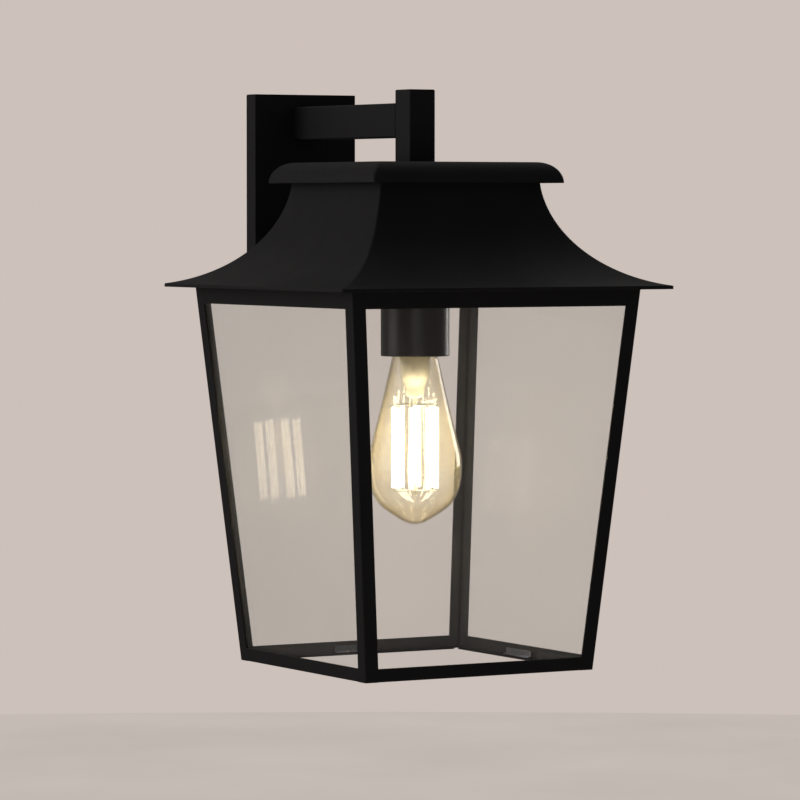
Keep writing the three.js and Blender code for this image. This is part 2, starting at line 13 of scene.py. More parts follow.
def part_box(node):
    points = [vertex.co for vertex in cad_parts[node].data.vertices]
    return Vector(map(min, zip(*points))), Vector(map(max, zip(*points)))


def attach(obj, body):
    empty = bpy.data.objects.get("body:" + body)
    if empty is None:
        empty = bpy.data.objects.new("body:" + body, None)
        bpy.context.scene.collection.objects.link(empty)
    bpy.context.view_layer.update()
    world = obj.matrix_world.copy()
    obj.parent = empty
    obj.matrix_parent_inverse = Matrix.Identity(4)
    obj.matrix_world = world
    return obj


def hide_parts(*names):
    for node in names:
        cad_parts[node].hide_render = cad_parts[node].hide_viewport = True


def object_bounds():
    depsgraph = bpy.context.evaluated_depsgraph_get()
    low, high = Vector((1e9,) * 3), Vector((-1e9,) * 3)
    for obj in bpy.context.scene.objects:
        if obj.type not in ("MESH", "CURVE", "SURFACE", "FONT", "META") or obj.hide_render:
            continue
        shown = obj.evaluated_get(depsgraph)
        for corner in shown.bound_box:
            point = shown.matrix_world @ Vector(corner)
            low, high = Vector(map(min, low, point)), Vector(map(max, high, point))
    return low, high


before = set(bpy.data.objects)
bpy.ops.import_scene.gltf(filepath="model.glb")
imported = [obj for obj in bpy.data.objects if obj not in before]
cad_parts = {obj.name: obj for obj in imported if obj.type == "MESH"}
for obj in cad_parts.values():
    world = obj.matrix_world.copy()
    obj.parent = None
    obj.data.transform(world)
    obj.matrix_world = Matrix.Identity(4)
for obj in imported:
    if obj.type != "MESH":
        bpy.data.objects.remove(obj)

cad_low, cad_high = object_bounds()

MM = 0.001
roof_low, roof_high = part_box("roof_shell")
AXIS = (roof_low + roof_high) / 2
ORIGIN = Vector((AXIS.x, AXIS.y, roof_low.z))


def extent(node):
    """Lowest and highest corner of a CAD node, in millimetres from the lantern's axis and eave."""
    low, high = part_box(node)
    return (low - ORIGIN) / MM, (high - ORIGIN) / MM


# ------------------------------------------------------------------ sizes, millimetres
GAP = 0.3
SHEET = 1.5
FOLD = 0.9                       # outer radius of a fold in the frame's sheet
EDGE = 0.2                       # broken edge of cut sheet

EAVE_HALF = extent("roof_shell")[1].x
ROOF_TOP = extent("roof_shell")[1].z
ARC_RADIUS = 79.3
ARC_X = 141.2
ARC_Z = 80.5
ARC_STEPS = 40
ROOF_CORNER = 1.6

CAP_LOW, CAP_HIGH = extent("cap_tray")
CAP_FLAT = 60.8
CAP_STEPS = 14
CAP_CORNER = 2.0

POST_LOW, POST_HIGH = extent("hanging_post")
POST_HALF = POST_HIGH.x
POST_WALL = 1.6
TUBE_CORNER = 1.1
TUBE_BORE_CORNER = 0.6
ARM_LOW, ARM_HIGH = extent("bracket_arm")

FRAME_TOP = 223.1
FRAME_BOTTOM = 176.8
FRAME_HEIGHT = -extent("corner_post_front_right")[0].z
LEG = 10.0
LEG_LAP = 0.02                   # how far a rail runs into the post's leg, so that no seam shows
TOP_RAIL_BOTTOM = -11.3
TOP_RAIL_TOP = extent("top_rail_front")[1].z
TOP_FLANGE = 16.0
FLANGE_MITRE = 0.42              # how fast the flange's ends draw in with its depth
BOTTOM_RAIL = 9.0
BOTTOM_FLANGE = 8.0
GLASS = 3.0
GLASS_EDGE = 0.4                 # rounding of a pane's edges, and its play at the corners
CLIP_HALF = 16.5
CLIP_HEIGHT = 4.7
CLIP_SHEET = 0.8

STEM_RADIUS = 5.0
STEM_BORE = 3.6
STEM_PITCH = 1.0
STEM_THREAD = 0.5                # depth of the stem's thread
NUT_FLATS = 14.0
NUT_FLANGE = 1.5                 # thickness of the roof nut's flange
SCREW_RADIUS = 1.7

HOLDER_RADIUS = extent("lampholder_cup")[1].x
HOLDER_LOW, HOLDER_HIGH = extent("lampholder_cup")
SOCKET_RADIUS = 14.6
LAMP_THREAD = 3.63               # pitch of the lamp's screw cap

BULB_TIP = extent("bulb_glass")[0].z
GLASS_WALL = 0.9
TIP_WALL = 1.3                   # the bulb's glass is thicker at its tip
FILAMENT_CIRCLE = 15.0
FILAMENT_TURN = 5.0
FILAMENT_LOW = extent("filament_1")[0].z
FILAMENT_HIGH = extent("filament_1")[1].z
FILAMENTS = 8
FILAMENT_TAB = 1.3               # bare metal at each end of a filament
PINCH_TURN = -20                 # degrees the stem's flat pinch is turned about the axis
WIRE = 0.35                      # radius of the lamp's wires
STAR_RING = 2.2                  # radius of the ring that joins the wire arms


# ------------------------------------------------------------------ mesh helpers
def mesh_object(name, points, faces, scale=MM, origin=None):
    """A mesh from points in millimetres, measured from the lantern's own origin."""
    place = ORIGIN if origin is None else origin
    mesh = bpy.data.meshes.new(name)
    mesh.from_pydata([Vector(p) * scale + place for p in points], [], faces)
    work = bmesh.new()
    work.from_mesh(mesh)
    bmesh.ops.remove_doubles(work, verts=work.verts, dist=1e-7)
    bmesh.ops.recalc_face_normals(work, faces=work.faces)
    work.to_mesh(mesh)
    work.free()
    mesh.shade_smooth()
    obj = bpy.data.objects.new(name, mesh)
    bpy.context.scene.collection.objects.link(obj)
    return obj


def skin(rings, wrap=True):
    """Points and faces between rings of points; a ring of one point is a pole."""
    points, starts = [], []
    for ring in rings:
        starts.append(len(points))
        points.extend(ring)
    faces = []
    last = len(rings) if wrap else len(rings) - 1
    for i in range(last):
        a, b = rings[i], rings[(i + 1) % len(rings)]
        sa, sb = starts[i], starts[(i + 1) % len(rings)]
        count = max(len(a), len(b))
        for k in range(count):
            n = (k + 1) % count
            if len(a) == 1 and len(b) == 1:
                continue
            if len(a) == 1:
                faces.append((sa, sb + k, sb + n))
            elif len(b) == 1:
                faces.append((sa + k, sa + n, sb))
            else:
                faces.append((sa + k, sa + n, sb + n, sb + k))
    return points, faces


SIGNS = ((1, 1), (-1, 1), (-1, -1), (1, -1))


def square_ring(half, z, corner, steps=5):
    """A rounded square about the axis. A corner as large as the half width makes a circle."""
    corner = min(corner, half)
    ring = []
    for quadrant, (sx, sy) in enumerate(SIGNS):
        for step in range(steps + 1):
            angle = math.radians(90 * (quadrant + step / steps))
            ring.append((
                sx * (half - corner) + corner * math.cos(angle),
                sy * (half - corner) + corner * math.sin(angle),
                z,
            ))
    return ring


def round_ring(radius, z, sides=48, radius_y=None):
    if radius == 0:
        return [(0, 0, z)]
    second = radius if radius_y is None else radius_y
    turn = 2 * math.pi / sides
    return [(radius * math.cos(k * turn), second * math.sin(k * turn), z) for k in range(sides)]


def turned(name, profile, sides=48):
    """A closed profile of (radius, z) points turned about the axis."""
    return mesh_object(name, *skin([round_ring(r, z, sides) for r, z in profile]))


def threaded(name, radius, depth, pitch, low, high, bore, rows=6, sides=32):
    """A tube whose outer wall carries a round thread and whose inner wall is plain."""
    count = int((high - low) / pitch * rows)
    rings = []
    for i in range(count + 1):
        z = low + (high - low) * i / count
        fade = min(1, (z - low) / pitch, (high - z) / pitch)
        ring = []
        for k in range(sides):
            turn = 2 * math.pi * k / sides
            wave = (1 - math.cos(2 * math.pi * z / pitch - turn)) / 2
            r = radius - depth * wave * fade
            ring.append((r * math.cos(turn), r * math.sin(turn), z))
        rings.append(ring)
    rings += [round_ring(bore, high, sides), round_ring(bore, low, sides)]
    return mesh_object(name, *skin(rings))


def filleted(outline, radii, steps=4):
    """A closed outline of (a, b) points with its corners rounded."""
    result = []
    count = len(outline)
    for i in range(count):
        corner = Vector(outline[i])
        a = Vector(outline[i - 1]) - corner
        b = Vector(outline[(i + 1) % count]) - corner
        half = a.angle(b) / 2
        reach = min(radii[i] / math.tan(half), 0.49 * a.length, 0.49 * b.length)
        radius = reach * math.tan(half)
        if radius == 0:
            result.append(tuple(corner))
            continue
        a.normalize()
        b.normalize()
        centre = corner + (a + b).normalized() * radius / math.sin(half)
        u = corner + a * reach - centre
        v = corner + b * reach - centre
        sweep = u.angle(v)
        for step in range(steps + 1):
            t = step / steps
            point = (u * math.sin((1 - t) * sweep) + v * math.sin(t * sweep)) / math.sin(sweep)
            result.append(tuple(centre + point))
    return result


def between(first, last):
    """Points and faces of a solid between two matching loops, closed at both ends."""
    count = len(first)
    faces = [tuple(range(count)), tuple(range(count, 2 * count))]
    faces += [(i, (i + 1) % count, count + (i + 1) % count, count + i) for i in range(count)]
    return list(first) + list(last), faces


def loft(name, first, last):
    return mesh_object(name, *between(first, last))


def rectangle(half_a, half_b):
    return [(-half_a, -half_b), (half_a, -half_b), (half_a, half_b), (-half_a, half_b)]


def pipe_points(path, radius, sides=10):
    """Points and faces of a round wire along a path, closed at both ends."""
    path = [Vector(p) for p in path]
    rings = [[tuple(path[0])]]
    side = None
    for i, point in enumerate(path):
        ahead = (path[min(i + 1, len(path) - 1)] - path[max(i - 1, 0)]).normalized()
        if side is None:
            side = ahead.orthogonal().normalized()
        side = (side - ahead * side.dot(ahead)).normalized()
        up = ahead.cross(side)
        rings.append([
            tuple(point + (side * math.cos(2 * math.pi * k / sides)
                           + up * math.sin(2 * math.pi * k / sides)) * radius)
            for k in range(sides)
        ])
    rings.append([tuple(path[-1])])
    return skin(rings, wrap=False)


def gathered(name, parts):
    """One mesh object of several (points, faces) parts."""
    points, faces = [], []
    for part_points, part_faces in parts:
        start = len(points)
        points.extend(part_points)
        faces.extend(tuple(start + i for i in face) for face in part_faces)
    return mesh_object(name, points, faces)


def curve_through(points, steps):
    """A smooth curve through points, steps to each span."""
    knots = [Vector(p) for p in points]
    knots = [knots[0] * 2 - knots[1]] + knots + [knots[-1] * 2 - knots[-2]]
    result = []
    for i in range(1, len(knots) - 2):
        p0, p1, p2, p3 = knots[i - 1:i + 3]
        for step in range(steps):
            t = step / steps
            result.append(0.5 * (
                2 * p1 + (p2 - p0) * t + (2 * p0 - 5 * p1 + 4 * p2 - p3) * t * t
                + (3 * p1 - p0 - 3 * p2 + p3) * t ** 3
            ))
    result.append(knots[-2])
    return result


def turn_about_axis(obj, degrees):
    """Turns a mesh about the lantern's own axis."""
    obj.data.transform(
        Matrix.Translation(ORIGIN) @ Matrix.Rotation(math.radians(degrees), 4, "Z")
        @ Matrix.Translation(-ORIGIN)
    )
    return obj


def carve(obj, cutter, operation="DIFFERENCE"):
    """Cuts obj with cutter, keeps the result as plain mesh and removes the cutter."""
    cut = obj.modifiers.new("cut", "BOOLEAN")
    cut.operation = operation
    cut.solver = "EXACT"
    cut.object = cutter
    graph = bpy.context.evaluated_depsgraph_get()
    result = bpy.data.meshes.new_from_object(obj.evaluated_get(graph))
    obj.modifiers.clear()
    obj.data = result
    bpy.data.objects.remove(cutter)
    return obj


def soften(obj, width, segments=2, angle=32):
    """Rounds the sharp edges and keeps the flats flat in the shading."""
    weld = obj.modifiers.new("weld", "WELD")
    weld.merge_threshold = 1e-6
    bevel = obj.modifiers.new("edge", "BEVEL")
    bevel.width = width * MM
    bevel.segments = segments
    bevel.limit_method = "ANGLE"
    bevel.angle_limit = math.radians(angle)
    bevel.use_clamp_overlap = True
    return even_shading(obj)


def even_shading(obj):
    """Lets the large faces lead the shading, so that flats look flat beside their rounded edges."""
    weighted = obj.modifiers.new("shading", "WEIGHTED_NORMAL")
    weighted.keep_sharp = True
    weighted.weight = 90
    return obj


# ------------------------------------------------------------------ materials
class Finish:
    """A procedural material: a small builder for its nodes."""

    def __init__(self, name):
        self.material = bpy.data.materials.new(name)
        self.material.use_nodes = True
        self.tree = self.material.node_tree
        self.tree.nodes.clear()
        self.output = self.node("ShaderNodeOutputMaterial")
        self.place = self.node("ShaderNodeTexCoord").outputs["Object"]

    def node(self, kind, **values):
        made = self.tree.nodes.new(kind)
        for key, value in values.items():
            setattr(made, key, value)
        return made

    def link(self, source, target):
        self.tree.links.new(source, target)

    def feed(self, socket, value):
        """Puts a colour or a number on a socket, or links another node's output to it."""
        if isinstance(value, tuple):
            socket.default_value = (*value, 1)
        elif isinstance(value, (int, float)):
            socket.default_value = value
        else:
            self.link(value, socket)

    def noise(self, scale, detail):
        made = self.node("ShaderNodeTexNoise")
        made.inputs["Scale"].default_value = scale
        made.inputs["Detail"].default_value = detail
        self.link(self.place, made.inputs["Vector"])
        return made.outputs["Fac"]

    def ramp(self, factor, stops):
        made = self.node("ShaderNodeValToRGB")
        while len(made.color_ramp.elements) < len(stops):
            made.color_ramp.elements.new(0.5)
        for element, (position, colour) in zip(made.color_ramp.elements, stops):
            element.position = position
            element.color = (*colour, 1)
        self.link(factor, made.inputs["Fac"])
        return made.outputs["Color"]

    def spread(self, factor, low, high, from_low=0.3, from_high=0.7):
        """Maps a factor from from_low to from_high onto low to high, and holds it at both ends."""
        made = self.node("ShaderNodeMapRange")
        made.inputs["From Min"].default_value = from_low
        made.inputs["From Max"].default_value = from_high
        made.inputs["To Min"].default_value = low
        made.inputs["To Max"].default_value = high
        self.link(factor, made.inputs["Value"])
        return made.outputs["Result"]

    def maths(self, operation, *values):
        made = self.node("ShaderNodeMath", operation=operation)
        for socket, value in zip(made.inputs, values):
            self.feed(socket, value)
        return made.outputs["Value"]

    def mix(self, factor, first, second):
        made = self.node("ShaderNodeMix", data_type="RGBA")
        for index, value in ((0, factor), (6, first), (7, second)):
            self.feed(made.inputs[index], value)
        return made.outputs[2]

    def blend(self, factor, first, second):
        """Mixes two shader nodes."""
        made = self.node("ShaderNodeMixShader")
        self.link(factor, made.inputs[0])
        self.link(first.outputs[0], made.inputs[1])
        self.link(second.outputs[0], made.inputs[2])
        return made

    def bump(self, height, distance, strength=1.0, normal=None):
        made = self.node("ShaderNodeBump")
        made.inputs["Distance"].default_value = distance
        made.inputs["Strength"].default_value = strength
        self.link(height, made.inputs["Height"])
        if normal is not None:
            self.link(normal, made.inputs["Normal"])
        return made.outputs["Normal"]

    def facing_up(self):
        """How far the surface faces up, 0 to 1."""
        geometry = self.node("ShaderNodeNewGeometry")
        parts = self.node("ShaderNodeSeparateXYZ")
        self.link(geometry.outputs["Normal"], parts.inputs["Vector"])
        return self.spread(parts.outputs["Z"], 0.0, 1.0, 0.55, 1.0)

    def surface(self, colour, roughness, normal, **fixed):
        """Ends the material in one Principled shader; fixed values sit on its own sockets."""
        made = self.node("ShaderNodeBsdfPrincipled")
        for key, value in fixed.items():
            made.inputs[key.replace("_", " ")].default_value = value
        for socket, value in (("Base Color", colour), ("Roughness", roughness), ("Normal", normal)):
            self.feed(made.inputs[socket], value)
        self.link(made.outputs["BSDF"], self.output.inputs["Surface"])
        return self.material

    def principled(self):
        return next(n for n in self.tree.nodes if n.type == "BSDF_PRINCIPLED")


def coat(name, dark, light, dust_and_top_light_colour, rough):
    """Powder coat: fine orange peel, slow changes of tone, and a trace of dust on what faces up; the same
    mark paints the upward faces a little lighter, as painted top light.
    """
    f = Finish(name)
    tone = f.ramp(f.noise(26, 4), [(0.3, dark), (0.7, light)])
    # Dust and painted top light: upward faces mix a little towards a paler colour, as if lit from above.
    dust_and_top_light = f.maths("MULTIPLY", f.facing_up(), f.spread(f.noise(75, 5), 0.0, 0.2))
    colour = f.mix(dust_and_top_light, tone, dust_and_top_light_colour)
    grain = f.noise(1500, 2)
    peel = f.bump(f.noise(420, 2), 0.00002, 0.5)
    return f.surface(
        colour, f.spread(f.noise(48, 3), rough - 0.02, rough + 0.02),
        f.bump(grain, 0.000012, 0.6, peel), IOR=1.5,
    )


def plated(name, dark, light, rough_low, rough_high, scale=320):
    """Plated or bare metal with fine grain and slight marks."""
    f = Finish(name)
    colour = f.ramp(f.noise(scale, 4), [(0.32, dark), (0.68, light)])
    return f.surface(
        colour, f.spread(f.noise(scale * 0.6, 5), rough_low, rough_high),
        f.bump(f.noise(scale * 5, 2), 0.000006, 0.5), Metallic=1.0,
    )


def moulded(name, dark, light, rough, bump, scale):
    """Moulded plastic, rubber or fired clay."""
    f = Finish(name)
    colour = f.ramp(f.noise(scale, 3), [(0.3, dark), (0.7, light)])
    return f.surface(
        colour, f.spread(f.noise(scale * 0.4, 3), rough - 0.06, rough + 0.06),
        f.bump(f.noise(scale * 4, 2), bump, 0.5),
    )


def clear(name, face_tint, rim_tint, film, film_share, film_scale, reflect=0.04):
    """Thin clear glass: see-through, with more reflection towards grazing and a faint film on it."""
    f = Finish(name)
    weight = f.node("ShaderNodeLayerWeight")
    weight.inputs["Blend"].default_value = 0.5
    facing = weight.outputs["Facing"]
    tint = f.mix(f.maths("POWER", facing, 2.0), face_tint, rim_tint)
    through = f.node("ShaderNodeBsdfTransparent")
    f.link(tint, through.inputs["Color"])
    gloss = f.node("ShaderNodeBsdfAnisotropic")
    gloss.inputs["Color"].default_value = (1, 1, 1, 1)
    gloss.inputs["Roughness"].default_value = 0.02
    haze = f.node("ShaderNodeBsdfDiffuse")
    haze.inputs["Color"].default_value = (*film, 1)
    share = f.spread(f.noise(film_scale, 4), film_share * 0.7, film_share * 1.3)
    filmed = f.blend(share, through, haze)
    shine = f.maths("MULTIPLY_ADD", f.maths("POWER", facing, 5.0), 1 - reflect, reflect)
    f.link(f.blend(shine, filmed, gloss).outputs[0], f.output.inputs["Surface"])
    return f.material


PHOSPHOR_UNLIT = (0.75, 0.55, 0.2)


def glowing(name, colour_low, colour_high, strength):
    """Lit phosphor coat on a filament, slightly uneven along it."""
    f = Finish(name)
    colour = f.ramp(f.noise(900, 2), [(0.35, colour_low), (0.65, colour_high)])
    f.surface(
        PHOSPHOR_UNLIT, 0.6, f.bump(f.noise(1800, 2), 0.00003, 0.5), Emission_Strength=strength,
    )
    f.link(colour, f.principled().inputs["Emission Color"])
    return f.material


BLACK = coat("black_coat", (0.0125, 0.0115, 0.012), (0.017, 0.0155, 0.016), (0.06, 0.058, 0.055), 0.58)
HOLDER = coat("holder_coat", (0.043, 0.036, 0.029), (0.053, 0.046, 0.038), (0.07, 0.064, 0.058), 0.3)
ZINC = plated("zinc_steel", (0.44, 0.45, 0.47), (0.6, 0.61, 0.63), 0.28, 0.46)
BRASS = plated("brass", (0.52, 0.35, 0.13), (0.72, 0.52, 0.24), 0.22, 0.38)
PORCELAIN = moulded("porcelain", (0.74, 0.71, 0.64), (0.83, 0.81, 0.75), 0.22, 0.000006, 160)
INSULATOR = moulded("dark_insulator", (0.012, 0.012, 0.014), (0.02, 0.02, 0.024), 0.18, 0.000004, 200)
RUBBER = moulded("wall_gasket_rubber", (0.012, 0.012, 0.012), (0.022, 0.022, 0.022), 0.8, 0.00002, 500)
PLASTIC = moulded("white_plastic", (0.66, 0.65, 0.61), (0.74, 0.73, 0.69), 0.42, 0.00001, 300)
PANE = clear("clear_glass", (0.995, 0.995, 0.99), (0.93, 0.96, 0.94), (0.95, 0.93, 1.0), 0.03, 18, 0.025)
STEM_GLASS = clear("stem_glass", (0.99, 0.99, 0.96), (0.93, 0.92, 0.84), (1.0, 0.98, 0.86), 0.9, 60)
AMBER = clear("amber_glass", (0.995, 0.99, 0.97), (0.92, 0.86, 0.72), (1.0, 0.95, 0.72), 0.031, 30)
PHOSPHOR = glowing("filament_phosphor", (1.0, 0.84, 0.6), (1.0, 0.92, 0.74), 13.0)


def add(obj, material, slot, body="lantern_body", nodes=()):
    """Gives a made piece its finish and body, and hides the CAD nodes it stands for; the slot is not used.
    """
    obj.data.materials.clear()
    obj.data.materials.append(material)
    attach(obj, body)
    if nodes:
        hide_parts(*nodes)
    return obj


def keep(node, material, edge, segments=2):
    """Keeps a CAD node's own solid, with its edges rounded and its finish on."""
    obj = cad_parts[node]
    obj.data.materials.clear()
    obj.data.materials.append(material)
    obj.data.shade_smooth()
    soften(obj, edge, segments)
    return obj


# ------------------------------------------------------------------ wall plate and what is behind it
keep("wall_gasket", RUBBER, 0.3)
keep("mounting_bracket", ZINC, 0.25)
keep("wall_plate", BLACK, 0.55, 3)
keep("terminal_block", PLASTIC, 0.5)
keep("post_foot_plate", ZINC, 0.25)
keep("holder_bridge", ZINC, 0.25)
keep("centre_contact", BRASS, 0.15)


def cross_recess(name, centre, across, deep, width):
    """A cutter for a cross recess, sunk into a screw head that faces up."""
    x, y, top = centre
    taper = 0.55
    slots = []
    for suffix, a, b in (("", across, width), ("_b", width, across)):
        wide = [(x + u, y + v, top + 1) for u, v in rectangle(a, b)]
        low = [(x + u * taper, y + v * taper, top - deep) for u, v in rectangle(a, b)]
        slots.append(loft(name + suffix, wide, low))
    return carve(*slots, "UNION")


def screw(name, x, y, profile, recess_top, across):
    """A turned screw standing at x, y with a cross recess in its head."""
    body = turned(name, profile, 28)
    body.data.transform(Matrix.Translation(Vector((x, y, 0)) * MM))
    deep, width = 0.9, across * 0.28
    return carve(body, cross_recess(name + "_recess", (x, y, recess_top), across, deep, width))


def cover_screw(side):
    """Countersunk screw in the plate's top or bottom edge."""
    name = "cover_screw_top" if side > 0 else "cover_screw_bottom"
    low, high = extent(name)
    x, y = (low.x + high.x) / 2, (low.y + high.y) / 2
    length = high.z - low.z
    profile = [
        (0, 0), (3.2, 0), (3.38, -0.15), (1.75, -1.5),
        (1.75, 0.6 - length), (1.4, -length), (0, -length),
    ]
    body = screw(name + "_fine", x, y, profile, 0, 1.9)
    if side < 0:
        body.data.transform(Matrix.Translation(-ORIGIN))
        body.data.transform(Matrix.Diagonal((1, 1, -1, 1)))
        body.data.flip_normals()
        body.data.transform(Matrix.Translation(ORIGIN))
    end = high.z if side > 0 else low.z
    body.data.transform(Matrix.Translation((0, 0, end * MM)))
    soften(body, 0.12)
    add(body, BLACK, "black_coat", nodes=[name])


cover_screw(1)
cover_screw(-1)


def grommet():
    low, high = extent("cable_grommet")
    z = (low.z + high.z) / 2
    flange = (high.z - low.z) / 2
    neck = flange - 2
    deep = high.y - low.y
    bore, lip = 4.2, 1.3
    profile = filleted(
        [(bore, 0), (neck, 0), (neck, deep - lip), (flange, deep - lip), (flange, deep), (bore, deep)],
        [0.4, 0.4, 0.1, 0.5, 0.5, 0.4],
    )
    body = turned("cable_grommet_fine", profile, 40)
    body.data.transform(Matrix.Translation(-ORIGIN))
    body.data.transform(Matrix.Rotation(math.radians(-90), 4, "X"))
    body.data.transform(Matrix.Translation(ORIGIN + Vector((0, low.y, z)) * MM))
    even_shading(body)
    add(body, RUBBER, "wall_gasket_rubber", nodes=["cable_grommet"])


grommet()


# ------------------------------------------------------------------ arm and post
def rounded_box_section(half_a, half_b, wall):
    """Outer and inner rounded outlines of a square tube."""
    outer = filleted(rectangle(half_a, half_b), [TUBE_CORNER] * 4, 6)
    inner = filleted(rectangle(half_a - wall, half_b - wall), [TUBE_BORE_CORNER] * 4, 6)
    return outer, inner


def tube(name, half_a, half_b, wall, start, end, place):
    """A square tube from start to end; place turns (a, b, along) into a point."""
    outer, inner = rounded_box_section(half_a, half_b, wall)
    trim = 0.25
    rings = [
        [place(a, b, start + trim) for a, b in outer],
        [place(a, b, end - trim) for a, b in outer],
        [place(a * (1 - trim / half_a), b * (1 - trim / half_b), end) for a, b in outer],
        [place(a, b, end) for a, b in inner],
        [place(a, b, start) for a, b in inner],
        [place(a * (1 - trim / half_a), b * (1 - trim / half_b), start) for a, b in outer],
    ]
    return mesh_object(name, *skin(rings))


def closed_post():
    """The square post: open below, with a lid welded on and dressed smooth."""
    low, top = POST_LOW.z, POST_HIGH.z
    inner = POST_HALF - POST_WALL
    rings = [
        [(0, 0, top)],
        square_ring(POST_HALF - 0.9, top, TUBE_CORNER - 0.6, 6),
        square_ring(POST_HALF - 0.3, top - 0.2, TUBE_CORNER - 0.2, 6),
        square_ring(POST_HALF, top - 0.8, TUBE_CORNER, 6),
        square_ring(POST_HALF, low + 0.2, TUBE_CORNER, 6),
        square_ring(POST_HALF - 0.2, low, TUBE_CORNER, 6),
        square_ring(inner, low, TUBE_BORE_CORNER, 6),
        square_ring(inner, top - POST_WALL, TUBE_BORE_CORNER, 6),
        [(0, 0, top - POST_WALL)],
    ]
    body = even_shading(mesh_object("hanging_post_fine", *skin(rings, wrap=False)))
    add(body, BLACK, "black_coat", nodes=["hanging_post"])


closed_post()
arm_middle = (ARM_LOW.z + ARM_HIGH.z) / 2
arm = tube("bracket_arm_fine", POST_HALF, (ARM_HIGH.z - ARM_LOW.z) / 2, POST_WALL,
           ARM_LOW.y - GAP, ARM_HIGH.y + GAP, lambda a, b, along: (a, along, arm_middle + b))
add(even_shading(arm), BLACK, "black_coat", nodes=["bracket_arm"])


# ------------------------------------------------------------------ cap and roof
def arc(centre_x, centre_z, radius_x, radius_z, start, end, steps):
    """Points (x, z) along an elliptical arc, from start to end in degrees."""
    points = []
    for i in range(steps + 1):
        angle = math.radians(start + (end - start) * i / steps)
        points.append((centre_x + radius_x * math.cos(angle), centre_z + radius_z * math.sin(angle)))
    return points


def square_shell(name, hole, outer, inner, corner):
    """A square shell with a round hole on its axis, from its outer and inner profiles."""
    rings = [square_ring(hole, outer[0][1], hole)]
    rings += [square_ring(half, z, corner) for half, z in outer]
    rings += [square_ring(half, z, max(0.3, corner - SHEET)) for half, z in inner]
    rings.append(square_ring(hole, inner[-1][1], hole))
    return even_shading(mesh_object(name, *skin(rings)))


def cap():
    reach = CAP_HIGH.x - CAP_FLAT
    high = CAP_HIGH.z - CAP_LOW.z
    outer = arc(CAP_FLAT, CAP_LOW.z, reach, high, 90, 0, CAP_STEPS)
    inner = arc(CAP_FLAT, CAP_LOW.z, reach - SHEET, high - SHEET, 0, 90, CAP_STEPS)
    outer[-1:] = [(CAP_HIGH.x, CAP_LOW.z + 0.2), (CAP_HIGH.x - 0.2, CAP_LOW.z)]
    body = square_shell("cap_tray_fine", STEM_RADIUS + GAP, outer, inner, CAP_CORNER)
    add(body, BLACK, "black_coat", nodes=["cap_tray"])


def roof():
    def flare(radius, half):
        end = 180 + math.degrees(math.acos((ARC_X - half) / radius))
        return arc(ARC_X, ARC_Z, radius, radius, 180, end, ARC_STEPS)

    shoulder = ARC_X - ARC_RADIUS
    outer = [(shoulder - 0.6, ROOF_TOP), (shoulder, ROOF_TOP - 0.6)]
    outer += flare(ARC_RADIUS, EAVE_HALF - 0.25)
    lip = outer[-1][1]
    outer += [(EAVE_HALF, lip - 0.3), (EAVE_HALF, 0.2), (EAVE_HALF - 0.2, 0)]
    inner = [(EAVE_HALF - SHEET, 0)]
    inner += flare(ARC_RADIUS + SHEET, EAVE_HALF - SHEET)[::-1]
    inner.append((shoulder - SHEET, ROOF_TOP - SHEET))
    body = square_shell("roof_shell_fine", STEM_RADIUS + GAP, outer, inner, ROOF_CORNER)
    add(body, BLACK, "black_coat", nodes=["roof_shell"])


cap()
roof()


# ------------------------------------------------------------------ stem, nuts, bridge screws
stem_low, stem_high = extent("threaded_stem")
stem = threaded("threaded_stem_fine", STEM_RADIUS, STEM_THREAD, STEM_PITCH,
                stem_low.z, stem_high.z, STEM_BORE, 5, 24)
add(stem, ZINC, "zinc_steel", nodes=["threaded_stem"])


def hex_nut(node):
    """A hexagon nut with chamfered corners; the roof's nut has a wide flange on top."""
    low, high = extent(node)
    corner = NUT_FLATS / math.sqrt(3)
    flanged = node == "roof_nut"
    top = high.z - (NUT_FLANGE if flanged else 0)
    bottom, cone, clear_of, bore = low.z, corner - 0.9, corner + 0.2, STEM_RADIUS + 0.1
    points, faces = skin([round_ring(corner, bottom, 6), round_ring(corner, top, 6)], wrap=False)
    faces.extend([(0, 1, 2, 3, 4, 5), (6, 7, 8, 9, 10, 11)])
    body = mesh_object(node + "_fine", points, faces)
    body = carve(body, turned(node + "_cone", [
        (0, bottom), (cone, bottom), (clear_of, bottom + 0.6),
        (clear_of, top - 0.6), (cone, top), (0, top),
    ], 48), "INTERSECT")
    if flanged:
        edge = filleted([(0, top - 0.4), (high.x, top + 0.3), (high.x, high.z), (0, high.z)],
                        [0, 0.3, 0.3, 0], 3)
        body = carve(body, turned(node + "_flange", edge, 64), "UNION")
        top = high.z
    body = carve(body, turned(node + "_bore", [
        (0, bottom - 1), (bore, bottom - 1), (bore, top + 1), (0, top + 1),
    ], 32))
    add(soften(body, 0.12), ZINC, "zinc_steel", nodes=[node])


for nut in ("post_nut", "roof_nut", "bridge_nut", "holder_nut"):
    hex_nut(nut)

for node in ("bridge_screw_left", "bridge_screw_right"):
    low, high = extent(node)
    seat = high.z - 1.4
    pan = [(0, high.z), (1.7, high.z - 0.05), (2.6, high.z - 0.45), (2.9, high.z - 0.95), (2.9, seat),
           (SCREW_RADIUS, seat), (SCREW_RADIUS, low.z + 0.6), (1.1, low.z), (0, low.z)]
    x = (low.x + high.x) / 2
    pan_screw = screw(node + "_fine", x, 0, pan, high.z, 1.7)
    add(soften(pan_screw, 0.1), ZINC, "zinc_steel", nodes=[node])


# ------------------------------------------------------------------ glazed frame
def frame_half(z):
    """Half the frame's outer width at a height: the sides lean in towards the bottom."""
    return FRAME_TOP / 2 + (FRAME_TOP - FRAME_BOTTOM) / 2 / FRAME_HEIGHT * z


def front_bar(name, section, end_of):
    """A bar along the front side, from a section of (depth behind the face, z) points."""
    left = [(-end_of(d, z), d - frame_half(z), z) for d, z in section]
    right = [(end_of(d, z), d - frame_half(z), z) for d, z in section]
    return loft(name, left, right)


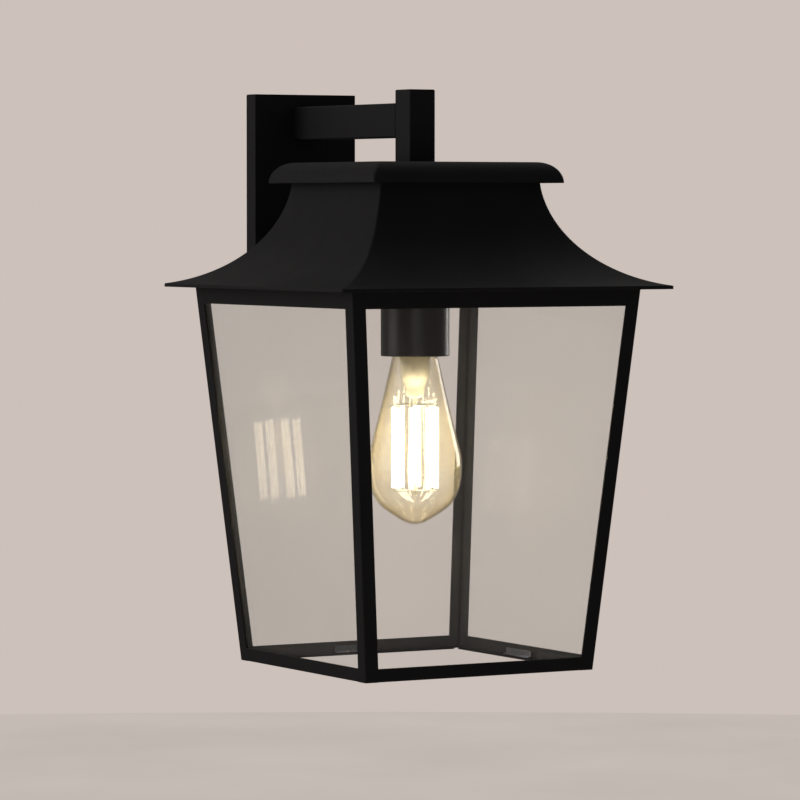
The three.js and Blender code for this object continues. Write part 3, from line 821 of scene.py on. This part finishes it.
def top_rail(name):
    under = TOP_RAIL_TOP - SHEET
    section = filleted(
        [(0, TOP_RAIL_BOTTOM), (SHEET, TOP_RAIL_BOTTOM), (SHEET, under),
         (TOP_FLANGE, under), (TOP_FLANGE, TOP_RAIL_TOP), (0, TOP_RAIL_TOP)],
        [EDGE, EDGE, 0.3, EDGE, EDGE, FOLD])

    def end_of(depth, z):
        return frame_half(z) - LEG + LEG_LAP - max(0, depth - SHEET) * FLANGE_MITRE

    return front_bar(name, section, end_of)


def bottom_rail(name):
    z0 = -FRAME_HEIGHT
    section = filleted(
        [(0, z0), (BOTTOM_FLANGE, z0), (BOTTOM_FLANGE, z0 + SHEET), (SHEET, z0 + SHEET),
         (SHEET, z0 + BOTTOM_RAIL), (0, z0 + BOTTOM_RAIL)],
        [FOLD, EDGE, EDGE, 0.3, EDGE, EDGE])
    return front_bar(name, section, lambda depth, z: frame_half(z) - LEG + LEG_LAP)


def corner_post(name):
    outline = filleted(
        [(0, 0), (0, LEG), (SHEET, LEG), (SHEET, SHEET), (LEG, SHEET), (LEG, 0)],
        [FOLD, EDGE, EDGE, 0.3, EDGE, EDGE])
    ends = [
        [(frame_half(z) - a, b - frame_half(z), z) for a, b in outline]
        for z in (-FRAME_HEIGHT, TOP_RAIL_TOP)
    ]
    return loft(name, *ends)


GLASS_DEPTH = SHEET + GAP
GLASS_LOW = -FRAME_HEIGHT + SHEET + GAP


def pane(name):
    top = TOP_RAIL_TOP - SHEET - 2 * GAP
    behind = GLASS_DEPTH + GLASS
    section = filleted(
        [(GLASS_DEPTH, GLASS_LOW), (behind, GLASS_LOW), (behind, top), (GLASS_DEPTH, top)],
        [GLASS_EDGE] * 4, 3)
    return front_bar(name, section, lambda depth, z: frame_half(z) - behind - GLASS_EDGE)


def glazing_clip(name):
    """A short sprung strip that stands on the rail's flange and leans on the glass."""
    front = GLASS_DEPTH + GLASS + GAP
    z0 = GLASS_LOW
    inside, tip = front + CLIP_SHEET, z0 + CLIP_HEIGHT
    section = filleted(
        [(front, z0), (BOTTOM_FLANGE, z0), (BOTTOM_FLANGE, z0 + CLIP_SHEET),
         (inside, z0 + CLIP_SHEET), (inside, tip), (front, tip)],
        [0.5, EDGE, EDGE, EDGE, EDGE, EDGE], 3)
    return front_bar(name, section, lambda depth, z: CLIP_HALF)


SIDES = ("front", "right", "back", "left")
CORNERS = ("front_right", "back_right", "back_left", "front_left")
for index, (side, corner) in enumerate(zip(SIDES, CORNERS)):
    for node, maker, material, slot in (
            (f"top_rail_{side}", top_rail, BLACK, "black_coat"),
            (f"bottom_rail_{side}", bottom_rail, BLACK, "black_coat"),
            (f"corner_post_{corner}", corner_post, BLACK, "black_coat"),
            (f"glazing_clip_{side}", glazing_clip, ZINC, "zinc_steel"),
            (f"glass_{side}", pane, PANE, "clear_glass")):
        piece = turn_about_axis(maker(node + "_fine"), 90 * index)
        add(even_shading(piece), material, slot, nodes=[node])


# ------------------------------------------------------------------ lampholder
def holder_cup():
    inner = HOLDER_RADIUS - SHEET
    hole = STEM_RADIUS + GAP
    top, low = HOLDER_HIGH.z, HOLDER_LOW.z
    profile = filleted(
        [(hole, top), (HOLDER_RADIUS, top), (HOLDER_RADIUS, low), (inner, low),
         (inner, top - SHEET), (hole, top - SHEET)],
        [0.2, 2.4, 0.7, 0.5, 1.0, 0.2], 6)
    add(even_shading(turned("lampholder_cup_fine", profile, 96)), HOLDER, "holder_coat",
        nodes=["lampholder_cup"])


def holder_insert():
    low, high = extent("lampholder_insert")
    bore, thickness = 2.4, 4.4
    ceiling = high.z - thickness
    profile = filleted(
        [(bore, high.z), (high.x, high.z), (high.x, low.z), (SOCKET_RADIUS, low.z),
         (SOCKET_RADIUS, ceiling), (bore, ceiling)],
        [0.4, 1.2, 1.2, 0.6, 0.5, 0.4], 5)
    add(even_shading(turned("lampholder_insert_fine", profile, 72)), PORCELAIN, "porcelain",
        nodes=["lampholder_insert"])


holder_cup()
holder_insert()
shell_low, shell_high = extent("lampholder_shell")
shell_radius, shell_thread, shell_wall = SOCKET_RADIUS - GAP, 0.3, 0.4
holder_shell = threaded("lampholder_shell_fine", shell_radius, shell_thread, LAMP_THREAD,
                        shell_low.z, shell_high.z, shell_radius - shell_wall, 10, 64)
add(holder_shell, BRASS, "brass", nodes=["lampholder_shell"])


# ------------------------------------------------------------------ lamp
BULB_OUTLINE = [
    (12.3, -42), (12.6, -44.2), (14.4, -45.4), (15.6, -47.2), (21.6, -74), (28.1, -100), (31.4, -114),
    (32, -124), (30.4, -137), (24.6, -148), (14.5, -155.6), (6.4, -160.4), (0, BULB_TIP),
]


def bulb_glass():
    outer = [tuple(p) for p in curve_through(BULB_OUTLINE, 7)]
    outer[-1] = (0, BULB_TIP)
    inner = []
    for i, (r, z) in enumerate(outer[:-1]):
        ahead = Vector(outer[i + 1]) - Vector(outer[max(i - 1, 0)])
        normal = Vector((ahead.y, -ahead.x)).normalized()
        inner.append((max(0.02, r + normal.x * GLASS_WALL), z + normal.y * GLASS_WALL))
    inner.append((0, BULB_TIP + TIP_WALL))
    body = turned("bulb_glass_fine", outer + inner[::-1], 96)
    add(body, AMBER, "amber_glass", "lamp", ["bulb_glass"])


def cap_shell():
    low, high = extent("bulb_cap_shell")
    depth, wall = 0.55, 0.7
    body = threaded("bulb_cap_shell_fine", high.x, depth, LAMP_THREAD, low.z, high.z, high.x - wall, 10, 64)
    add(body, BRASS, "brass", "lamp", ["bulb_cap_shell"])


def insulator():
    low, high = extent("bulb_insulator")
    profile = filleted([(0, low.z), (11.5, low.z), (5.2, high.z), (0, high.z)], [0, 0.8, 0.8, 0], 4)
    add(even_shading(turned("bulb_insulator_fine", profile, 48)), INSULATOR, "dark_insulator",
        "lamp_carrier", ["bulb_insulator"])
    tip_low, tip_high = extent("bulb_contact_tip")
    button = [(0, tip_low.z), (4.2, tip_low.z), (4.1, tip_low.z + 0.3), (3.2, tip_high.z - 0.25),
              (1.6, tip_high.z - 0.05), (0, tip_high.z)]
    add(turned("bulb_contact_tip_fine", button, 32), ZINC, "zinc_steel",
        "lamp_carrier", ["bulb_contact_tip"])


def glass_stem():
    """The flare of the stem, its flat pinch and the rod that carries the filaments."""
    outer = [(10.5, 10.5, -44), (10.4, 10.4, -52), (10.0, 9.8, -58), (9.0, 7.6, -62), (7.6, 4.6, -65.5),
             (6.6, 2.6, -69), (6.4, 2.2, -73), (5.2, 2.0, -74.4), (2.4, 1.7, -75.2), (1.5, 1.5, -76.5)]
    low = FILAMENT_LOW - 3
    outer += [(1.5, 1.5, low), (1.1, 1.1, low - 0.6), (0.5, 0.5, low - 0.95)]
    inner = [(9.6, 9.6, -44), (9.5, 9.5, -52), (9.0, 8.8, -58), (7.6, 6.2, -62), (5.6, 2.6, -65)]
    rings = [[(0, 0, -65.8)]]
    rings += [round_ring(rx, z, 48, ry) for rx, ry, z in reversed(inner)]
    rings += [round_ring(rx, z, 48, ry) for rx, ry, z in outer]
    rings.append([(0, 0, low - 1)])
    body = turn_about_axis(mesh_object("bulb_stem_fine", *skin(rings, wrap=False)), PINCH_TURN)
    add(body, STEM_GLASS, "clear_glass", "lamp", ["bulb_stem"])


def filament_angle(index):
    return math.radians(FILAMENT_TURN + 360 / FILAMENTS * index)


def wires():
    """Lead-in wires through the pinch, and the wire arms that hold the filaments."""
    leads = []
    for sign in (1, -1):
        leads.append(pipe_points(curve_through(
            [(sign * 5.5, 0, -44.5), (sign * 5.0, 0, -54), (sign * 3.4, 0, -63), (sign * 3.2, 0, -73),
             (sign * 2.2, 0, -79.5)], 6), WIRE))
    lead_wires = turn_about_axis(gathered("lead_in_wires", leads), PINCH_TURN)
    add(lead_wires, ZINC, "zinc_steel", "lamp")
    for node, sign in (("filament_support_top", 1), ("filament_support_bottom", -1)):
        low, high = extent(node)
        middle = (low.z + high.z) / 2
        parts = [pipe_points([(STAR_RING * math.cos(t), STAR_RING * math.sin(t), middle)
                              for t in (2 * math.pi * k / 24 for k in range(25))], 0.4)]
        for index in range(FILAMENTS):
            x, y = math.cos(filament_angle(index)), math.sin(filament_angle(index))
            parts.append(pipe_points(curve_through(
                [(STAR_RING * x, STAR_RING * y, middle), (8 * x, 8 * y, middle + sign * 0.05),
                 (FILAMENT_CIRCLE * x, FILAMENT_CIRCLE * y, middle)], 6), WIRE))
        add(gathered(node + "_fine", parts), ZINC, "zinc_steel", "lamp", [node])


def upright_bar(angle, half_a, half_b, corner, low, high):
    """Bottom and top loop of a bar that stands on the filaments' circle at an angle."""
    c, s = math.cos(angle), math.sin(angle)
    section = filleted(rectangle(half_a, half_b), [corner] * 4, 3)
    return [
        [(FILAMENT_CIRCLE * c + a * c - b * s, FILAMENT_CIRCLE * s + a * s + b * c, z) for a, b in section]
        for z in (low, high)
    ]


def filaments():
    """The lit strips, and the flat tab at each end that the wire arms hold."""
    low, high = FILAMENT_LOW + FILAMENT_TAB, FILAMENT_HIGH - FILAMENT_TAB
    half, corner = 1.29, 1.2
    tab_half_thickness, tab_half_width, tab_corner = 0.18, 0.6, 0.1
    into_wire = 0.2
    tabs = []
    for index in range(FILAMENTS):
        angle = filament_angle(index)
        strip = loft(f"filament_{index + 1}_fine", *upright_bar(angle, half, half, corner, low, high))
        add(strip, PHOSPHOR, "filament_phosphor", "lamp", [f"filament_{index + 1}"])
        for z0, z1 in ((FILAMENT_LOW - into_wire, low), (high, FILAMENT_HIGH + into_wire)):
            tabs.append(between(*upright_bar(
                angle, tab_half_thickness, tab_half_width, tab_corner, z0, z1)))
    add(gathered("filament_tabs", tabs), ZINC, "zinc_steel", "lamp")


bulb_glass()
cap_shell()
insulator()
glass_stem()
wires()
filaments()


# ------------------------------------------------------------------ inner lead
def inner_lead():
    """The lead: up from the terminal block, along the arm, and down through the post and the stem."""
    low, high = extent("inner_lead")
    radius = 1.9
    bend = 10
    back = high.y - radius
    quarter = [math.radians(90 * i / 8) for i in range(9)]
    path = [(0, back, extent("terminal_block")[1].z + GAP)]
    path += [(0, back - bend * (1 - math.cos(t)), arm_middle - bend * (1 - math.sin(t))) for t in quarter]
    path += [(0, bend * (1 - math.sin(t)), arm_middle - bend * (1 - math.cos(t))) for t in quarter]
    path.append((0, 0, low.z))
    lead = mesh_object("inner_lead_fine", *pipe_points(path, radius, 20))
    add(lead, PLASTIC, "white_plastic", nodes=["inner_lead"])


inner_lead()


# ------------------------------------------------------------------ stage
def floor_paint(name, colour_low, colour_high, rough):
    """Pale paint. It is seen evenly lit, and it throws little light back at the lantern."""
    f = Finish(name)
    colour = f.ramp(f.noise(1.3, 4), [(0.3, colour_low), (0.7, colour_high)])
    f.surface(colour, rough, f.bump(f.noise(60, 4), 0.0004, 0.3))
    even = f.node("ShaderNodeEmission")
    f.link(colour, even.inputs["Color"])
    ray = f.node("ShaderNodeLightPath").outputs["Is Camera Ray"]
    f.link(f.blend(ray, f.principled(), even).outputs[0], f.output.inputs["Surface"])
    return f.material


FLOOR_Z = -2.2                   # metres, like all of the stage
FLOOR_RINGS = (0, 4.0, 16.0)
FLOOR_DARK = (0.53, 0.47, 0.435)
FLOOR_LIGHT = (0.57, 0.505, 0.47)
floor_skin = skin([round_ring(r, FLOOR_Z, 96) for r in FLOOR_RINGS], wrap=False)
floor = mesh_object("studio_floor", *floor_skin, scale=1.0, origin=Vector((0, 0, 0)))
floor.data.materials.append(floor_paint("studio_paint", FLOOR_DARK, FLOOR_LIGHT, 0.9))


def soft_light(name, place, target, width, height, power, colour):
    """A rectangular area light, aimed at the target and itself unseen by the camera."""
    data = bpy.data.lights.new(name, "AREA")
    data.shape = "RECTANGLE"
    data.size = width
    data.size_y = height
    data.energy = power
    data.color = colour
    obj = bpy.data.objects.new(name, data)
    obj.location = place
    obj.rotation_mode = "QUATERNION"
    obj.rotation_quaternion = (Vector(target) - Vector(place)).to_track_quat("-Z", "Y")
    obj.visible_camera = False
    bpy.context.scene.collection.objects.link(obj)
    return obj


# name, place, width, height, watts, colour
SOFT_LIGHTS = [
    ("key_left", (-2.7, 0.75, 0.35), 1.8, 1.8, 9.5, (1.0, 0.97, 0.97)),
    ("overhead", (-0.6, 0.5, 3.0), 2.4, 2.4, 4.5, (1.0, 1.0, 1.0)),
    ("rim_right", (2.8, 0.75, 0.5), 0.9, 1.8, 20, (1.0, 0.98, 0.95)),
    ("fill_front", (-1.2, -2.6, -0.7), 1.6, 1.6, 4.0, (1.0, 1.0, 1.0)),
]
for light_name, place, width, height, watts, colour in SOFT_LIGHTS:
    soft_light(light_name, place, (cad_low + cad_high) / 2, width, height, watts, colour)

GLOW_WATTS = 0.4
GLOW_COLOUR = (1.0, 0.84, 0.58)
GLOW_RADIUS = 0.014
glow = bpy.data.lights.new("lamp_glow", "POINT")
glow.energy = GLOW_WATTS
glow.color = GLOW_COLOUR
glow.shadow_soft_size = GLOW_RADIUS
glow_object = bpy.data.objects.new("lamp_glow", glow)
glow_object.location = ORIGIN + Vector((0, 0, (FILAMENT_LOW + FILAMENT_HIGH) / 2)) * MM
glow_object.visible_camera = False
glow_object.visible_glossy = False
bpy.context.scene.collection.objects.link(glow_object)

# What lights the lantern is soft: paler behind it, dim in front of it. What is seen past it is plain.
AIR_STOPS = [
    (0.35, (0.05, 0.051, 0.053)), (0.5, (0.09, 0.088, 0.088)), (0.75, (0.15, 0.142, 0.138)),
]
AIR_SEEN = (0.61, 0.535, 0.495)
world = bpy.data.worlds.new("studio_air")
world.use_nodes = True
tree = world.node_tree
tree.nodes.clear()
lighting = tree.nodes.new("ShaderNodeBackground")
seen = tree.nodes.new("ShaderNodeBackground")
seen.inputs["Color"].default_value = (*AIR_SEEN, 1)
heading = tree.nodes.new("ShaderNodeTexCoord")
parts = tree.nodes.new("ShaderNodeSeparateXYZ")
depth = tree.nodes.new("ShaderNodeMapRange")
depth.inputs["From Min"].default_value = -1.0
depth.inputs["From Max"].default_value = 1.0
blend = tree.nodes.new("ShaderNodeValToRGB")
blend.color_ramp.elements.new(0.5)
for element, (position, colour) in zip(blend.color_ramp.elements, AIR_STOPS):
    element.position = position
    element.color = (*colour, 1)
ray = tree.nodes.new("ShaderNodeLightPath")
choice = tree.nodes.new("ShaderNodeMixShader")
air = tree.nodes.new("ShaderNodeOutputWorld")
for source, target in (
        (heading.outputs["Generated"], parts.inputs["Vector"]),
        (parts.outputs["Y"], depth.inputs["Value"]),
        (depth.outputs["Result"], blend.inputs["Fac"]),
        (blend.outputs["Color"], lighting.inputs["Color"]),
        (ray.outputs["Is Camera Ray"], choice.inputs[0]),
        (lighting.outputs[0], choice.inputs[1]),
        (seen.outputs[0], choice.inputs[2]),
        (choice.outputs[0], air.inputs["Surface"])):
    tree.links.new(source, target)
bpy.context.scene.world = world


# ------------------------------------------------------------------ camera
AZIMUTH = math.radians(-29.75)
ELEVATION = math.radians(2.49)
DISTANCE = 3.045
SENSOR = 36                      # millimetres, as is the lens
LENS = 200.3
AIM_SIDE = -0.0103               # how far the aim point lies right of the lantern's axis
AIM_HEIGHT = -0.0767             # and above its eave
right = Vector((math.cos(AZIMUTH), math.sin(AZIMUTH), 0))
backwards = Vector((
    math.sin(AZIMUTH) * math.cos(ELEVATION), -math.cos(AZIMUTH) * math.cos(ELEVATION), math.sin(ELEVATION),
))
camera_data = bpy.data.cameras.new("camera")
camera_data.sensor_width = SENSOR
camera_data.lens = LENS
camera = bpy.data.objects.new("camera", camera_data)
camera.location = ORIGIN + right * AIM_SIDE + Vector((0, 0, AIM_HEIGHT)) + backwards * DISTANCE
camera.rotation_mode = "QUATERNION"
camera.rotation_quaternion = (-backwards).to_track_quat("-Z", "Y")
bpy.context.scene.collection.objects.link(camera)
bpy.context.scene.camera = camera
bpy.context.scene.view_settings.view_transform = "Standard"
